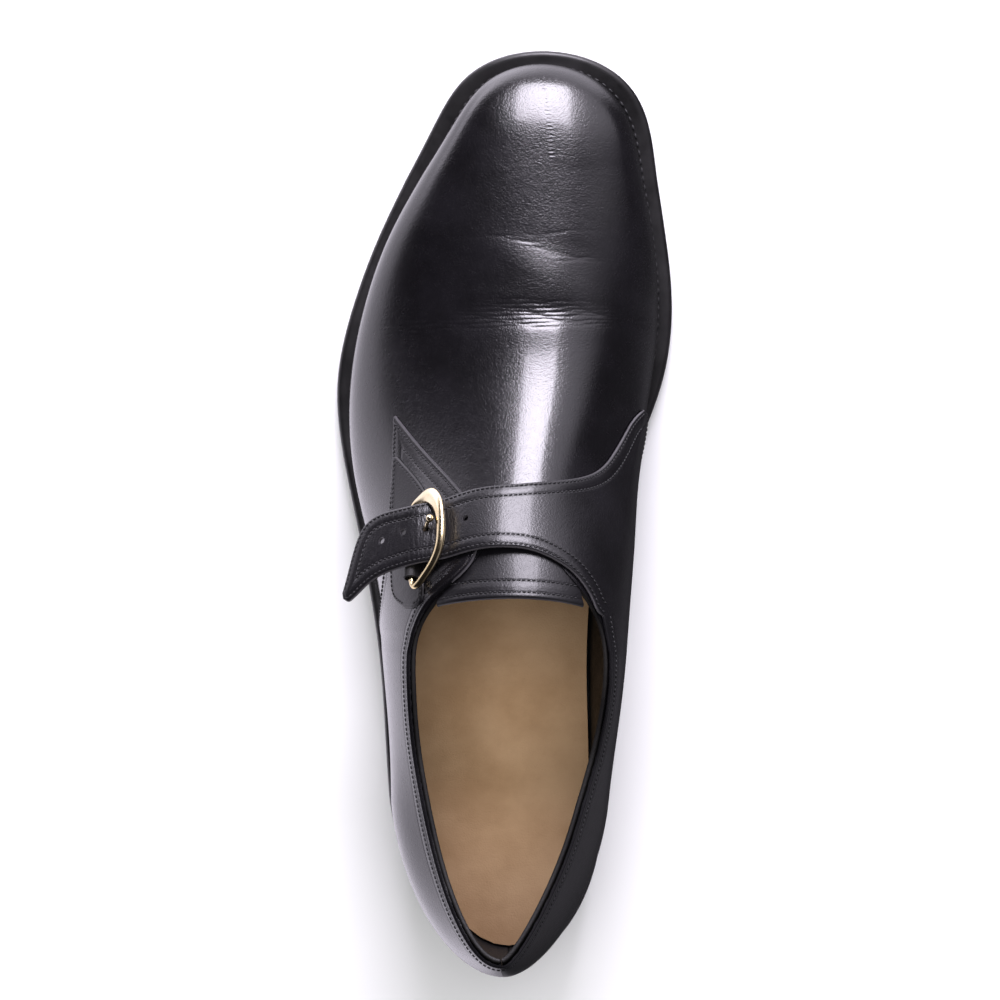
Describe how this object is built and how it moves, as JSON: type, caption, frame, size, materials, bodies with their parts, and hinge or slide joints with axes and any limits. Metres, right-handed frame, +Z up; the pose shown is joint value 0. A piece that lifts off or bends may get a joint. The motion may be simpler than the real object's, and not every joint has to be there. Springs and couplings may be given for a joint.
{
  "type": "monk-strap dress shoe",
  "caption": "Left leather dress shoe with a plain toe, a buckled strap over the instep, an open collar, a welted leather sole and a stacked heel.",
  "frame": {"origin": "ground plane under the middle of the shoe's bounding box", "axes": "+Y to the toe, +X to the medial side (the inner side of the foot), +Z up"},
  "size_m": [0.112, 0.3021, 0.0981],
  "materials": {
    "upper_leather": "polished black calf",
    "sole_leather": "black edge dressing",
    "heel_stack": "black edge dressing",
    "footbed": "plain tan",
    "buckle_metal": "polished pale gold"
  },
  "bodies": {
    "root": {"outsole": "sole_leather", "heel": "heel_stack", "welt": "sole_leather", "insole": "footbed", "upper": "upper_leather", "tongue": "upper_leather", "lateral_quarter": "upper_leather", "medial_quarter_strap": "upper_leather", "buckle_tab": "upper_leather", "buckle_keeper_front": "upper_leather", "buckle_keeper_rear": "upper_leather", "buckle_frame": "buckle_metal", "buckle_prong": "buckle_metal"}
  },
  "joints": []
}
